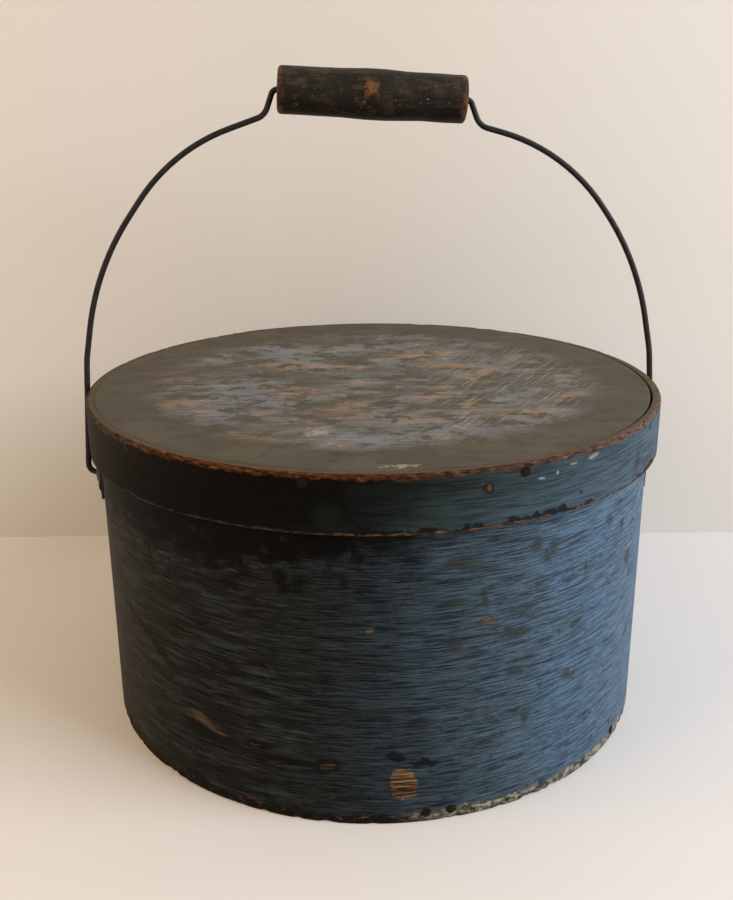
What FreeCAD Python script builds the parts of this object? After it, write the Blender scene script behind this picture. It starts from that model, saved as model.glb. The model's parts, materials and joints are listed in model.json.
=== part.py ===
"""Round bentwood box with a fitted lid and a swinging wire bail.

Millimetres, +Z up. The origin is the centre of the base, on the surface that
the box stands on. X runs through the two bail pivots, and -Y is the front.

Two thin boards are bent into hoops. Each hoop's ends are planed to long
feathers, lapped over each other and tacked. The bottom hoop is nailed round a
flat bottom board, and the shallower lid hoop is nailed round the lid board. A
domed iron ear is riveted to each side of the box. The bail's ends turn in
through the ears and the hoop, and are bent over inside. A turned wooden grip
is threaded on the bail.
"""

import FreeCAD, Part
import math
import os

import Sketcher
from FreeCAD import Placement, Rotation, Vector

# Driving dimensions, in millimetres and degrees
SIZES = {
    # Box body: a hoop round a bottom board
    "body_radius": 147.1,
    "body_wall": 4.0,
    "body_height": 167.0,
    "body_foot_round": 0.9,
    "bottom_thickness": 10.5,
    # Lid: a shallow hoop that fits over the body, round the lid board
    "lid_fit": 0.7,
    "band_wall": 4.2,
    "lid_overlap": 19.5,
    "lid_board_thickness": 7.5,
    "lid_board_gap": 0.4,
    "band_top_round": 1.1,
    "board_edge_round": 0.8,
    # Laps: where each hoop's feathered ends cross
    "lap_angle": 24.0,
    "lap_seam": 0.18,
    "lap_step": 0.4,
    "lap_feather": 0.6,
    "body_lap_at": 74.0,
    "lid_lap_at": 112.0,
    # Nails and tacks
    "nail_radius": 1.1,
    "nail_head_radius": 2.3,
    "nail_head_rise": 0.5,
    "bottom_nail_length": 19.0,
    "bottom_nail_pitch": 24.0,
    "bottom_nail_first": -83.7,
    "spare_nail_at": -79.1,
    "lid_nail_length": 17.0,
    "lid_nail_pitch": 36.0,
    "lid_nail_first": -68.2,
    "lid_nail_drop": 3.9,
    "tack_radius": 0.8,
    "tack_head_radius": 2.0,
    "tack_head_rise": 0.35,
    "tack_pitch": 22.0,
    "tack_edge": 7.0,
    "body_tack_margin": 8.0,
    "lid_tack_margin": 4.0,
    # Bail ears: lozenge plates with a pressed dome round the pivot
    "pivot_drop": 22.5,
    "ear_thickness": 1.4,
    "ear_width": 62.0,
    "ear_height": 28.0,
    "ear_tip": 9.0,
    "dome_rise": 6.6,
    "dome_radius": 12.0,
    "rivet_spread": 22.0,
    "rivet_radius": 1.5,
    "rivet_head_radius": 3.3,
    "rivet_head_rise": 1.2,
    "rove_radius": 4.0,
    "rove_thickness": 1.0,
    # Bail: one bent wire, in a plane through the pivots that leans back
    "bail_lean": 11.0,
    "wire_radius": 1.6,
    "pin_play": 0.3,
    "pin_bend": 3.2,
    "tail_length": 12.0,
    "arm_flare": 5.9,
    "arm_clearance": 2.2,
    "arm_height": 61.9,
    "arm_bend": 60.0,
    "shoulder_inset": 3.7,
    "shoulder_height": 110.8,
    "shoulder_bend": 140.0,
    "crown_reach": 4.0,
    "crown_drop": 29.0,
    "crown_bend": 100.0,
    "neck_run": 4.8,
    "neck_drop": 13.6,
    "neck_bend": 9.0,
    "mouth_gap": 0.4,
    "mouth_bend": 3.6,
    "bail_rise": 200.6,
    # Grip: turned wood, threaded on the wire
    "grip_tilt": 3.4,
    "grip_shift": 2.6,
    "grip_length": 101.2,
    "grip_end_radius": 12.4,
    "grip_mid_radius": 13.2,
    "grip_end_round": 2.4,
    "bore_play": 0.35,
}

doc = FreeCAD.newDocument("BentwoodBox")
sheet = doc.addObject("Spreadsheet::Sheet", "Sizes")
for row, (name, number) in enumerate(SIZES.items(), 1):
    sheet.set("A%d" % row, name)
    sheet.set("B%d" % row, str(number))
    sheet.setAlias("B%d" % row, name)
doc.recompute()


def read(name):
    """The value of one driving dimension."""
    return float(sheet.get(name))


# Worked-out sizes, as expressions on the sheet
BODY_INNER = "(Sizes.body_radius - Sizes.body_wall)"
BAND_INNER = "(Sizes.body_radius + Sizes.lid_fit)"
BAND_OUTER = "(Sizes.body_radius + Sizes.lid_fit + Sizes.band_wall)"
LID_TOP = "(Sizes.body_height + Sizes.lid_board_thickness)"
PIVOT_Z = "(Sizes.body_height - Sizes.lid_overlap - Sizes.pivot_drop)"
EAR_FACE = "(Sizes.body_radius + Sizes.ear_thickness)"
GRIP_Y = "(Sizes.bail_rise * sin(Sizes.bail_lean))"
GRIP_Z = "(%s + Sizes.bail_rise * cos(Sizes.bail_lean))" % PIVOT_Z
GRIP_BORE = "(Sizes.wire_radius + Sizes.bore_play)"

# The same worked-out sizes, as numbers for the pieces that are laid out by angle
body_radius = read("body_radius")
body_inner = body_radius - read("body_wall")
band_inner = body_radius + read("lid_fit")
band_outer = band_inner + read("band_wall")
lid_top = read("body_height") + read("lid_board_thickness")
band_foot = read("body_height") - read("lid_overlap")
pivot_z = band_foot - read("pivot_drop")
wire_radius = read("wire_radius")


def bind(thing, **expressions):
    """Bind properties to sheet expressions. A dot in a name is written __."""
    for name, expression in expressions.items():
        thing.setExpression(name.replace("__", "."), expression)
    return thing


def cylinder(label, radius, height, foot="0"):
    """An upright cylinder on the box's axis."""
    thing = doc.addObject("Part::Cylinder", label)
    return bind(thing, Radius=radius, Height=height, Placement__Base__z=foot)


def boolean(kind, label, base, tool):
    """Part::Cut or Part::Common of two objects."""
    thing = doc.addObject(kind, label)
    thing.Base = base
    thing.Tool = tool
    return thing


def fuse(label, things):
    """Part::MultiFuse of several objects."""
    thing = doc.addObject("Part::MultiFuse", label)
    thing.Shapes = things
    return thing


def solids(label, shapes):
    """One object that holds several loose solids."""
    thing = doc.addObject("Part::Feature", label)
    thing.Shape = Part.makeCompound(shapes)
    return thing


# Bent hoops

def polar(radius, angle):
    """A point in the base plane."""
    turn = math.radians(angle)
    return Vector(radius * math.cos(turn), radius * math.sin(turn), 0)


def bent_hoop(label, outer, wall, foot, height, at):
    """One strip bent round until its feathered ends cross in a lap at `at`.

    Each end is planed down to a thin feather. The outer end lies over the other
    with a thin seam between them, and stands proud in a small step.
    """
    inner = outer - wall
    half = read("lap_angle") / 2
    step = read("lap_step")
    seam = read("lap_seam")
    feather = read("lap_feather")
    butt = math.degrees(seam / outer)

    def arc(start, middle, end):
        points = [polar(radius, at + angle) for radius, angle in (start, middle, end)]
        return Part.Arc(*points).toShape()

    def line(start, end):
        points = [polar(radius, at + angle) for radius, angle in (start, end)]
        return Part.LineSegment(*points).toShape()

    outer_tip = (outer + step, half)
    outer_root = (outer, -half)
    under_heel = (outer, half + butt)
    under_start = (outer - feather, half + butt)
    inner_tip = (inner + feather, -half + butt)
    inner_toe = (inner, -half + butt)
    over_heel = (inner, -half)
    over_start = (inner + feather + seam, -half)
    outer_toe = (outer - feather + seam, half)
    middle = (outer + inner) / 2
    outline = Part.Wire([
        arc(outer_tip, (outer + step / 2, 0), outer_root),
        arc(outer_root, (outer, 180), under_heel),
        line(under_heel, under_start),
        arc(under_start, (middle, butt), inner_tip),
        line(inner_tip, inner_toe),
        arc(inner_toe, (inner, 180), over_heel),
        line(over_heel, over_start),
        arc(over_start, (middle + seam, 0), outer_toe),
        line(outer_toe, outer_tip),
    ])
    outline.translate(Vector(0, 0, foot))
    hoop = doc.addObject("Part::Feature", label)
    hoop.Shape = Part.Face(outline).extrude(Vector(0, 0, height))
    return hoop


def worn_corner(label, outer, rounding, edge_z, upward):
    """The waste outside a rounded outer corner: a square ring less a torus."""
    foot = "%s - %s" % (edge_z, rounding) if upward else edge_z
    centre = "%s - %s" % (edge_z, rounding) if upward else "%s + %s" % (edge_z, rounding)
    block = cylinder(label + "_block", "%s + 3" % outer, rounding, foot)
    core = cylinder(label + "_core", "%s - %s" % (outer, rounding), rounding, foot)
    ring = boolean("Part::Cut", label + "_ring", block, core)
    round_bar = doc.addObject("Part::Torus", label + "_bar")
    bind(
        round_bar,
        Radius1="%s - %s" % (outer, rounding),
        Radius2=rounding,
        Placement__Base__z=centre,
    )
    return boolean("Part::Cut", label, ring, round_bar)


# Nails, tacks and rivets

def fastener(radius, length, head_radius, head_rise, sunk):
    """A headed pin along +X. The wood's face is at x = 0 and the tip at -length.

    The head is `sunk` into the face and rises in a low dome above it.
    """
    rim = head_rise * 0.35
    points = [
        Vector(-length, 0, 0),
        Vector(-length, radius * 0.6, 0),
        Vector(-length + 2 * radius, radius, 0),
        Vector(-sunk, radius, 0),
        Vector(-sunk, head_radius, 0),
        Vector(rim, head_radius, 0),
        Vector(head_rise, head_radius * 0.45, 0),
        Vector(head_rise, 0, 0),
        Vector(-length, 0, 0),
    ]
    profile = Part.Face(Part.makePolygon(points))
    return profile.revolve(Vector(0, 0, 0), Vector(1, 0, 0), 360)


def driven(pin, angle, radius, height):
    """A copy of a pin, driven towards the box's axis at this angle and height."""
    placed = pin.copy()
    turn = Rotation(Vector(0, 0, 1), angle)
    placed.Placement = Placement(turn.multVec(Vector(radius, 0, height)), turn)
    return placed


def ring_of_nails(length, first, pitch, radius, height, extra=()):
    """Nails all round a hoop, from the first angle on, with any extra ones."""
    nail = fastener(
        read("nail_radius"), length, read("nail_head_radius"), read("nail_head_rise"), 0.3
    )
    count = int(360 // pitch)
    angles = [first + pitch * i for i in range(count)] + list(extra)
    return [driven(nail, angle, radius, height) for angle in angles]


def lap_tacks(outer, wall, at, low, high):
    """Two columns of tacks through a lap, one near each feathered end."""
    half = read("lap_angle") / 2
    inset = math.degrees(read("tack_edge") / outer)
    rows = max(2, int((high - low) // read("tack_pitch")) + 1)
    tacks = []
    for side in (-1, 1):
        angle = at + side * (half - inset)
        share = (half + side * (half - inset)) / (2 * half)
        face = outer + read("lap_step") * share
        tack = fastener(
            read("tack_radius"),
            face - outer + wall,
            read("tack_head_radius"),
            read("tack_head_rise"),
            0.2,
        )
        for row in range(rows):
            height = low + (high - low) * row / (rows - 1)
            tacks.append(driven(tack, angle, face, height))
    return tacks


bottom_nails = solids("bottom_nails", ring_of_nails(
    read("bottom_nail_length"),
    read("bottom_nail_first"),
    read("bottom_nail_pitch"),
    body_radius,
    read("bottom_thickness") / 2,
    [read("spare_nail_at")],
))
lid_nails = solids("lid_nails", ring_of_nails(
    read("lid_nail_length"),
    read("lid_nail_first"),
    read("lid_nail_pitch"),
    band_outer,
    lid_top - read("lid_nail_drop"),
))
body_lap_tacks = solids("body_lap_tacks", lap_tacks(
    body_radius,
    read("body_wall"),
    read("body_lap_at"),
    read("bottom_thickness") + read("body_tack_margin"),
    band_foot - read("body_tack_margin"),
))
lid_lap_tacks = solids("lid_lap_tacks", lap_tacks(
    band_outer,
    read("band_wall"),
    read("lid_lap_at"),
    band_foot + read("lid_tack_margin"),
    read("body_height") - read("lid_tack_margin"),
))


def ear_rivets(side_angle):
    """Two rivets through an ear and the hoop, one each side of the dome."""
    face = body_radius + read("ear_thickness")
    through = read("ear_thickness") + read("body_wall") + read("rove_thickness")
    rivet = fastener(
        read("rivet_radius"),
        through + 0.8,
        read("rivet_head_radius"),
        read("rivet_head_rise"),
        0.1,
    )
    spread = math.degrees(math.asin(read("rivet_spread") / body_radius))
    return [driven(rivet, side_angle + s * spread, face, pivot_z) for s in (-1, 1)]


def ear_roves(side_angle):
    """The washers that the rivets are closed on, bent to the hoop's inside."""
    thickness = read("rove_thickness")
    radius = read("rove_radius")
    foot = Vector(0, 0, pivot_z - 2 * radius)
    liner = Part.makeCylinder(body_inner, 4 * radius, foot)
    liner = liner.cut(Part.makeCylinder(body_inner - thickness, 4 * radius, foot))
    disc = Part.makeCylinder(radius, 3 * thickness, Vector(-2 * thickness, 0, 0), Vector(1, 0, 0))
    spread = math.degrees(math.asin(read("rivet_spread") / body_radius))
    discs = [driven(disc, side_angle + s * spread, body_inner, pivot_z) for s in (-1, 1)]
    holes = Part.makeCompound(ear_rivets(side_angle))
    return [disc.common(liner).cut(holes).Solids[0] for disc in discs]


SIDES = {"right": 0, "left": 180}
ear_rivet_groups = {s: solids("ear_rivets_" + s, ear_rivets(a)) for s, a in SIDES.items()}
ear_rove_groups = {s: solids("ear_roves_" + s, ear_roves(a)) for s, a in SIDES.items()}


# Sketch helpers

def plane_of(body, role):
    """One of a body's own origin planes or axes, found by its role."""
    return next(f for f in body.Origin.OriginFeatures if f.Role == role)


def new_sketch(body, name, role):
    """A sketch on one of the body's origin planes."""
    sketch = body.newObject("Sketcher::SketchObject", name)
    sketch.AttachmentSupport = (plane_of(body, role), [""])
    sketch.MapMode = "FlatFace"
    return sketch


def constrain(sketch, *values, name=None, to=None):
    """Add one constraint. A named one is bound to a sheet expression."""
    index = sketch.addConstraint(Sketcher.Constraint(*values))
    if name:
        sketch.renameConstraint(index, name)
        sketch.setExpression("Constraints." + name, to)


def round_board(label, radius, thickness, foot, rounding=None):
    """A flat round board: a padded circle, its top edge rounded if asked."""
    body = doc.addObject("PartDesign::Body", label)
    sketch = new_sketch(body, label + "_outline", "XY_Plane")
    sketch.addGeometry(Part.Circle(Vector(0, 0, 0), Vector(0, 0, 1), 100.0), False)
    constrain(sketch, "Coincident", 0, 3, -1, 1)
    constrain(sketch, "Radius", 0, 100.0, name="radius", to=radius)
    pad = body.newObject("PartDesign::Pad", label + "_pad")
    pad.Profile = sketch
    pad.setExpression("Length", thickness)
    if rounding:
        doc.recompute()
        top = max(range(len(pad.Shape.Edges)), key=lambda i: pad.Shape.Edges[i].CenterOfMass.z)
        worn = body.newObject("PartDesign::Fillet", label + "_worn_edge")
        worn.Base = (pad, ["Edge%d" % (top + 1)])
        worn.setExpression("Radius", rounding)
    bind(body, Placement__Base__z=foot)
    return body


# Body hoop, drilled for the nails, tacks, rivets and pivots

body_strip = bent_hoop(
    "body_strip", body_radius, read("body_wall"), 0, read("body_height"), read("body_lap_at")
)
body_foot = worn_corner("body_foot", "Sizes.body_radius", "Sizes.body_foot_round", "0", False)


def pivot_hole(label):
    """The hole for the bail's ends, right through both sides of the box."""
    hole = cylinder(label, "(Sizes.wire_radius + Sizes.pin_play)", "2 * %s + 40" % BAND_OUTER)
    hole.Placement = Placement(Vector(0, 0, 0), Rotation(Vector(0, 1, 0), 90))
    return bind(hole, Placement__Base__x="-%s - 20" % BAND_OUTER, Placement__Base__z=PIVOT_Z)


body_waste = fuse("body_waste", [
    body_foot,
    pivot_hole("body_pivot_hole"),
    bottom_nails,
    body_lap_tacks,
    ear_rivet_groups["right"],
    ear_rivet_groups["left"],
])
body_hoop = boolean("Part::Cut", "body_hoop", body_strip, body_waste)

bottom_blank = round_board("bottom_blank", BODY_INNER, "Sizes.bottom_thickness", "0")
bottom_board = boolean("Part::Cut", "bottom_board", bottom_blank, bottom_nails)

# Lid: board inside a band, nailed through the band's edge

lid_strip = bent_hoop(
    "lid_strip", band_outer, read("band_wall"), band_foot, lid_top - band_foot, read("lid_lap_at")
)
lid_rim = worn_corner("lid_rim", BAND_OUTER, "Sizes.band_top_round", LID_TOP, True)
lid_waste = fuse("lid_waste", [lid_rim, lid_nails, lid_lap_tacks])
lid_band = boolean("Part::Cut", "lid_band", lid_strip, lid_waste)

lid_blank = round_board(
    "lid_blank",
    "(%s - Sizes.lid_board_gap)" % BAND_INNER,
    "Sizes.lid_board_thickness",
    "Sizes.body_height",
    "Sizes.board_edge_round",
)
lid_board = boolean("Part::Cut", "lid_board", lid_blank, lid_nails)


# Bail ears

def lozenge(label):
    """The ear's outline, a lozenge with cut tips, padded out through the wall."""
    body = doc.addObject("PartDesign::Body", label)
    sketch = new_sketch(body, label + "_outline", "YZ_Plane")
    width = read("ear_width")
    height = read("ear_height")
    tip = read("ear_tip")
    side = [(width / 2, tip / 2), (0, height / 2), (-width / 2, tip / 2)]
    corners = side + [(-y, -z) for y, z in side]
    for i, start in enumerate(corners):
        end = corners[(i + 1) % len(corners)]
        sketch.addGeometry(Part.LineSegment(Vector(*start, 0), Vector(*end, 0)), False)
    for i in range(len(corners)):
        constrain(sketch, "Coincident", i, 2, (i + 1) % len(corners), 1)
    constrain(sketch, "Symmetric", 0, 1, 1, 2, -2)
    constrain(sketch, "Symmetric", 5, 1, 2, 2, -2)
    constrain(sketch, "Symmetric", 0, 1, 5, 1, -1)
    constrain(sketch, "Symmetric", 0, 2, 3, 2, -1)
    constrain(sketch, "PointOnObject", 0, 2, -2)
    constrain(sketch, "DistanceX", 1, 2, 0, 1, width, name="width", to="Sizes.ear_width")
    constrain(sketch, "DistanceY", 3, 2, 0, 2, height, name="height", to="Sizes.ear_height")
    constrain(sketch, "DistanceY", 5, 1, 0, 1, tip, name="tip", to="Sizes.ear_tip")
    pad = body.newObject("PartDesign::Pad", label + "_pad")
    pad.Profile = sketch
    pad.setExpression("Length", "%s + 2" % EAR_FACE)
    return body


def sphere(label, radius, centre_x):
    """A sphere on the pivot axis."""
    thing = doc.addObject("Part::Sphere", label)
    return bind(thing, Radius=radius, Placement__Base__x=centre_x, Placement__Base__z=PIVOT_Z)


def bail_ear(side, angle):
    """A lozenge plate bent to the hoop, with a hollow dome round the pivot."""
    name = "ear_" + side
    facing = "" if angle == 0 else "-"
    outline = lozenge(name + "_lozenge")
    outline.Placement = Placement(Vector(0, 0, 0), Rotation(Vector(0, 0, 1), angle))
    bind(outline, Placement__Base__z=PIVOT_Z)
    face = cylinder(name + "_face", EAR_FACE, LID_TOP)
    plate = boolean("Part::Common", name + "_plate", outline, face)

    ball = "((Sizes.dome_radius ^ 2 + Sizes.dome_rise ^ 2) / (2 * Sizes.dome_rise))"
    centre = "%s(Sizes.body_radius + Sizes.dome_rise - %s)" % (facing, ball)
    dome = sphere(name + "_dome", ball, centre)
    hollow = sphere(name + "_hollow", "%s - Sizes.ear_thickness" % ball, centre)
    blank = fuse(name + "_blank", [plate, dome])
    wall = cylinder(name + "_wall", "Sizes.body_radius", LID_TOP)
    waste = fuse(
        name + "_waste",
        [wall, hollow, pivot_hole(name + "_pivot_hole"), ear_rivet_groups[side]],
    )
    return boolean("Part::Cut", "bail_ear_" + side, blank, waste)


bail_ears = [bail_ear(side, angle) for side, angle in SIDES.items()]


# Bail wire

def bent_path(corners, bends):
    """Straight runs through the corners, each inner corner bent to its radius."""
    edges = []
    start = corners[0]
    for i, bend in enumerate(bends, 1):
        corner = corners[i]
        back = (corners[i - 1] - corner).normalize()
        on = (corners[i + 1] - corner).normalize()
        half = back.getAngle(on) / 2
        first = corner + back * (bend / math.tan(half))
        last = corner + on * (bend / math.tan(half))
        middle = corner + (back + on).normalize() * (bend / math.sin(half) - bend)
        edges.append(Part.LineSegment(start, first).toShape())
        edges.append(Part.Arc(first, middle, last).toShape())
        start = last
    edges.append(Part.LineSegment(start, corners[-1]).toShape())
    return Part.Wire(edges)


def half_bail(side):
    """Corners and bend radii from the tail inside the box up to the grip's end.

    `side` is 1 on the right and -1 on the left, where the grip sits higher.
    Heights are above the pivots. The corners beside the grip follow its shift.
    """
    pin_inner = body_inner - read("pin_bend") - 0.4
    arm = band_outer + read("arm_clearance") + wire_radius
    mouth = read("grip_length") / 2 + read("mouth_gap") + read("mouth_bend") * 0.54
    crown = (mouth + band_outer) / 2 + read("crown_reach")
    rise = read("bail_rise")
    lift = -side * mouth * math.tan(math.radians(read("grip_tilt")))
    shift = side * read("grip_shift")
    route = [
        (pin_inner, -read("tail_length"), None),
        (pin_inner, 0, read("pin_bend")),
        (band_outer + read("arm_flare"), 0, read("pin_bend") * 1.4),
        (arm, read("arm_height"), read("arm_bend")),
        (band_outer - read("shoulder_inset"), read("shoulder_height"), read("shoulder_bend")),
        (crown + shift / 2, rise - read("crown_drop") + lift / 3, read("crown_bend")),
        (mouth + shift + read("neck_run"), rise - read("neck_drop") + lift, read("neck_bend")),
        (mouth + shift, rise + lift, read("mouth_bend")),
    ]
    corners = [Vector(side * x, 0, height) for x, height, bend in route]
    bends = [bend for x, height, bend in route[1:]]
    return corners, bends


left_corners, left_bends = half_bail(-1)
right_corners, right_bends = half_bail(1)
bail_path = bent_path(left_corners + right_corners[::-1], left_bends + right_bends[::-1])
wire_end = Part.Wire(Part.makeCircle(wire_radius, left_corners[0], Vector(0, 0, 1)))
bail_wire = doc.addObject("Part::Feature", "bail_wire")
bail_wire.Shape = bail_path.makePipeShell([wire_end], True, False)
lean = Rotation(Vector(1, 0, 0), -read("bail_lean"))
bail_wire.Placement = Placement(Vector(0, 0, pivot_z), lean)


# Grip: half of its long section, turned about the wire's axis

def turned_grip():
    """A gently swelled bar with rounded ends and a bore."""
    body = doc.addObject("PartDesign::Body", "bail_grip")
    sketch = new_sketch(body, "grip_section", "XZ_Plane")
    half = read("grip_length") / 2
    end = read("grip_end_radius")
    middle = read("grip_mid_radius")
    bore = wire_radius + read("bore_play")
    sketch.addGeometry(Part.LineSegment(Vector(-half, bore, 0), Vector(half, bore, 0)), False)
    sketch.addGeometry(Part.LineSegment(Vector(half, bore, 0), Vector(half, end, 0)), False)
    swell = Part.Arc(Vector(half, end, 0), Vector(0, middle, 0), Vector(-half, end, 0))
    swell_radius = swell.toShape().Curve.Radius
    sketch.addGeometry(swell, False)
    sketch.addGeometry(Part.LineSegment(Vector(-half, end, 0), Vector(-half, bore, 0)), False)
    constrain(sketch, "Coincident", 0, 2, 1, 1)
    constrain(sketch, "Coincident", 1, 2, 2, 1)
    constrain(sketch, "Coincident", 2, 2, 3, 1)
    constrain(sketch, "Coincident", 3, 2, 0, 1)
    constrain(sketch, "Symmetric", 0, 1, 0, 2, -2)
    constrain(sketch, "Vertical", 1)
    constrain(sketch, "Vertical", 3)
    constrain(sketch, "PointOnObject", 2, 3, -2)
    constrain(sketch, "DistanceX", 0, 1, 0, 2, 2 * half, name="span", to="Sizes.grip_length")
    constrain(sketch, "DistanceY", -1, 1, 0, 2, bore, name="bore", to=GRIP_BORE)
    constrain(sketch, "DistanceY", -1, 1, 1, 2, end, name="end", to="Sizes.grip_end_radius")
    rise = "(Sizes.grip_mid_radius - Sizes.grip_end_radius)"
    sagitta = "(Sizes.grip_length ^ 2 / 4 + %s ^ 2) / (2 * %s)" % (rise, rise)
    constrain(sketch, "Radius", 2, swell_radius, name="swell", to=sagitta)
    turned = body.newObject("PartDesign::Revolution", "grip_turned")
    turned.Profile = sketch
    turned.ReferenceAxis = (sketch, ["H_Axis"])
    turned.Angle = 360
    doc.recompute()
    rims = []
    for i, edge in enumerate(turned.Shape.Edges, 1):
        if isinstance(edge.Curve, Part.Circle) and abs(edge.Curve.Radius - end) < 0.01:
            rims.append("Edge%d" % i)
    worn = body.newObject("PartDesign::Fillet", "grip_rounded_ends")
    worn.Base = (turned, rims)
    worn.setExpression("Radius", "Sizes.grip_end_round")
    tilt = Rotation(Vector(0, 1, 0), read("grip_tilt"))
    body.Placement = Placement(Vector(0, 0, 0), lean * tilt)
    return bind(
        body,
        Placement__Base__x="Sizes.grip_shift",
        Placement__Base__y=GRIP_Y,
        Placement__Base__z=GRIP_Z,
    )


bail_grip = turned_grip()

# Every sub-part, by its label

PIECES = [
    body_hoop,
    bottom_board,
    bottom_nails,
    body_lap_tacks,
    *bail_ears,
    *ear_rivet_groups.values(),
    *ear_rove_groups.values(),
    lid_board,
    lid_band,
    lid_nails,
    lid_lap_tacks,
    bail_wire,
    bail_grip,
]

doc.recompute()
for thing in doc.Objects:
    if "Invalid" in thing.State or "Error" in thing.State:
        raise RuntimeError("failed object: %s %s" % (thing.Label, thing.State))
for piece in PIECES:
    if piece.Shape.isNull() or not piece.Shape.isValid():
        raise RuntimeError("bad shape: %s" % piece.Label)

os.makedirs("parts", exist_ok=True)
for piece in PIECES:
    piece.Shape.exportStep("parts/%s.step" % piece.Label)
    box = piece.Shape.BoundBox
    print(
        "%-18s %2d solids %10.1f mm3  x %7.1f %7.1f  y %7.1f %7.1f  z %7.1f %7.1f"
        % (piece.Label, len(piece.Shape.Solids), piece.Shape.Volume,
           box.XMin, box.XMax, box.YMin, box.YMax, box.ZMin, box.ZMax)
    )
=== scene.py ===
"""The looks of a round bentwood box with a lid, a wire bail and a turned grip.

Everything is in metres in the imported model's own frame: +Z up, X through the
bail's pivots, -Y the front. The wooden hoops, the lid board, the wire and the
grip are modelled again here with worn edges and planed laps. The ears, the nails,
the tacks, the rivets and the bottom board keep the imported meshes.
"""

import json
import math

import bmesh
import bpy
from mathutils import Matrix, Vector, noise


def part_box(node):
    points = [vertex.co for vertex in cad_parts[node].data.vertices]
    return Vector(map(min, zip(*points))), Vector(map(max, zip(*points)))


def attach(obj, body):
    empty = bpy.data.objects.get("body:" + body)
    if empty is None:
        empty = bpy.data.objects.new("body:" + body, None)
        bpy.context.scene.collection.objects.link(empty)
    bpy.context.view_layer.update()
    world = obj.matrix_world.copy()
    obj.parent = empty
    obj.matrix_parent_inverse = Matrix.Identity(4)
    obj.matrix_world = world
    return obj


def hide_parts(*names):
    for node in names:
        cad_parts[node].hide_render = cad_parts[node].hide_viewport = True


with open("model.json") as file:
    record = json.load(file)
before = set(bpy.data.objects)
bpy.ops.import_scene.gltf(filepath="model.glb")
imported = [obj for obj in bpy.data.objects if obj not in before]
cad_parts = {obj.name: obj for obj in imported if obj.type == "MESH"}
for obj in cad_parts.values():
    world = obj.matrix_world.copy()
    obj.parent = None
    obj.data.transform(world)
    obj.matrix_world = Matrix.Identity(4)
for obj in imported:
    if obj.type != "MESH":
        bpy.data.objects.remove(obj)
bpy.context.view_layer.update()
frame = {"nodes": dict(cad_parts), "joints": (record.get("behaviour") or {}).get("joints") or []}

MM = 0.001


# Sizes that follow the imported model

body_low, body_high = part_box("body_hoop")
band_low, band_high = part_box("lid_band")
board_low, board_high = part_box("lid_board")
body_radius = body_high.x
band_radius = band_high.x
lid_top = band_high.z
joints = {joint["name"]: joint for joint in frame["joints"]}
pivot = Vector(joints["bail_swing"]["pos_m"])
grip_centre = Vector(joints["grip_spin"]["pos_m"])
grip_axis = Vector(joints["grip_spin"]["axis"])

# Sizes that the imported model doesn't give, as it was built with them
BODY_WALL = 4.0 * MM
BAND_WALL = 4.2 * MM
LAP_HALF = math.radians(12)
LAP_STEP = 0.4 * MM
LAP_SEAM = 0.18 * MM
LAP_FEATHER = 0.6 * MM
BODY_LAP_AT = math.radians(74)
LID_LAP_AT = math.radians(112)
FRONT = math.radians(-90)


# Nodes and colours

def linear(code):
    """An sRGB hex colour as linear RGBA."""
    parts = [int(code[i:i + 2], 16) / 255 for i in (1, 3, 5)]
    return [c / 12.92 if c <= 0.04045 else ((c + 0.055) / 1.055) ** 2.4 for c in parts] + [1.0]


def first_output(made):
    """The first output that a node has in use."""
    return next(out for out in made.outputs if out.enabled)


def node(tree, kind, sockets=None, stops=None, **settings):
    """Add one node with its settings, its colour stops, its values and its links.

    A socket is named, or counted among those in use. A node given as a value
    stands for its first output in use.
    """
    made = tree.nodes.new("ShaderNode" + kind)
    for name, value in settings.items():
        setattr(made, name, value)
    if stops:
        ramp = made.color_ramp
        while len(ramp.elements) < len(stops):
            ramp.elements.new(1.0)
        for element, (place, code) in zip(ramp.elements, stops):
            element.position = place
            element.color = linear(code)
    ports = [port for port in made.inputs if port.enabled]
    for name, value in (sockets or {}).items():
        port = ports[name] if isinstance(name, int) else next(p for p in ports if p.name == name)
        if isinstance(value, bpy.types.Node):
            value = first_output(value)
        if isinstance(value, bpy.types.NodeSocket):
            tree.links.new(value, port)
        else:
            port.default_value = value
    return made


def new_material(name, **shader_values):
    """A material with its shader, and values that are the same all over it."""
    material = bpy.data.materials.new(name)
    material.use_nodes = True
    shader = material.node_tree.nodes["Principled BSDF"]
    for socket, value in shader_values.items():
        shader.inputs[socket.replace("_", " ")].default_value = value
    return material, material.node_tree, shader


def layered(tree, base, layers):
    """Lay colours over a base colour.

    Each layer is (value, none at, full at, strength, colour).
    """
    for value, none_at, full_at, strength, colour in layers:
        mask = node(
            tree, "MapRange",
            {"Value": value, "From Min": none_at, "From Max": full_at, "To Max": strength},
            interpolation_type="SMOOTHSTEP",
        )
        if isinstance(colour, str):
            colour = linear(colour)
        base = node(tree, "Mix", {"Factor": mask, "A": base, "B": colour}, data_type="RGBA")
    return base


def ragged(tree, place, size_mm, amount_mm):
    """Coordinates pushed about by a noise of this size, so edges drawn on them are ragged."""
    rough = node(
        tree, "TexNoise",
        {"Vector": place, "Scale": 1 / (size_mm * MM), "Detail": 4.0, "Roughness": 0.65},
    )
    centred = node(
        tree, "VectorMath",
        {0: rough.outputs["Color"], 1: (0.5, 0.5, 0.5)},
        operation="SUBTRACT",
    )
    return node(
        tree, "VectorMath",
        {0: centred, 1: (amount_mm * MM * 2,) * 3, 2: place},
        operation="MULTIPLY_ADD",
    )


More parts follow.
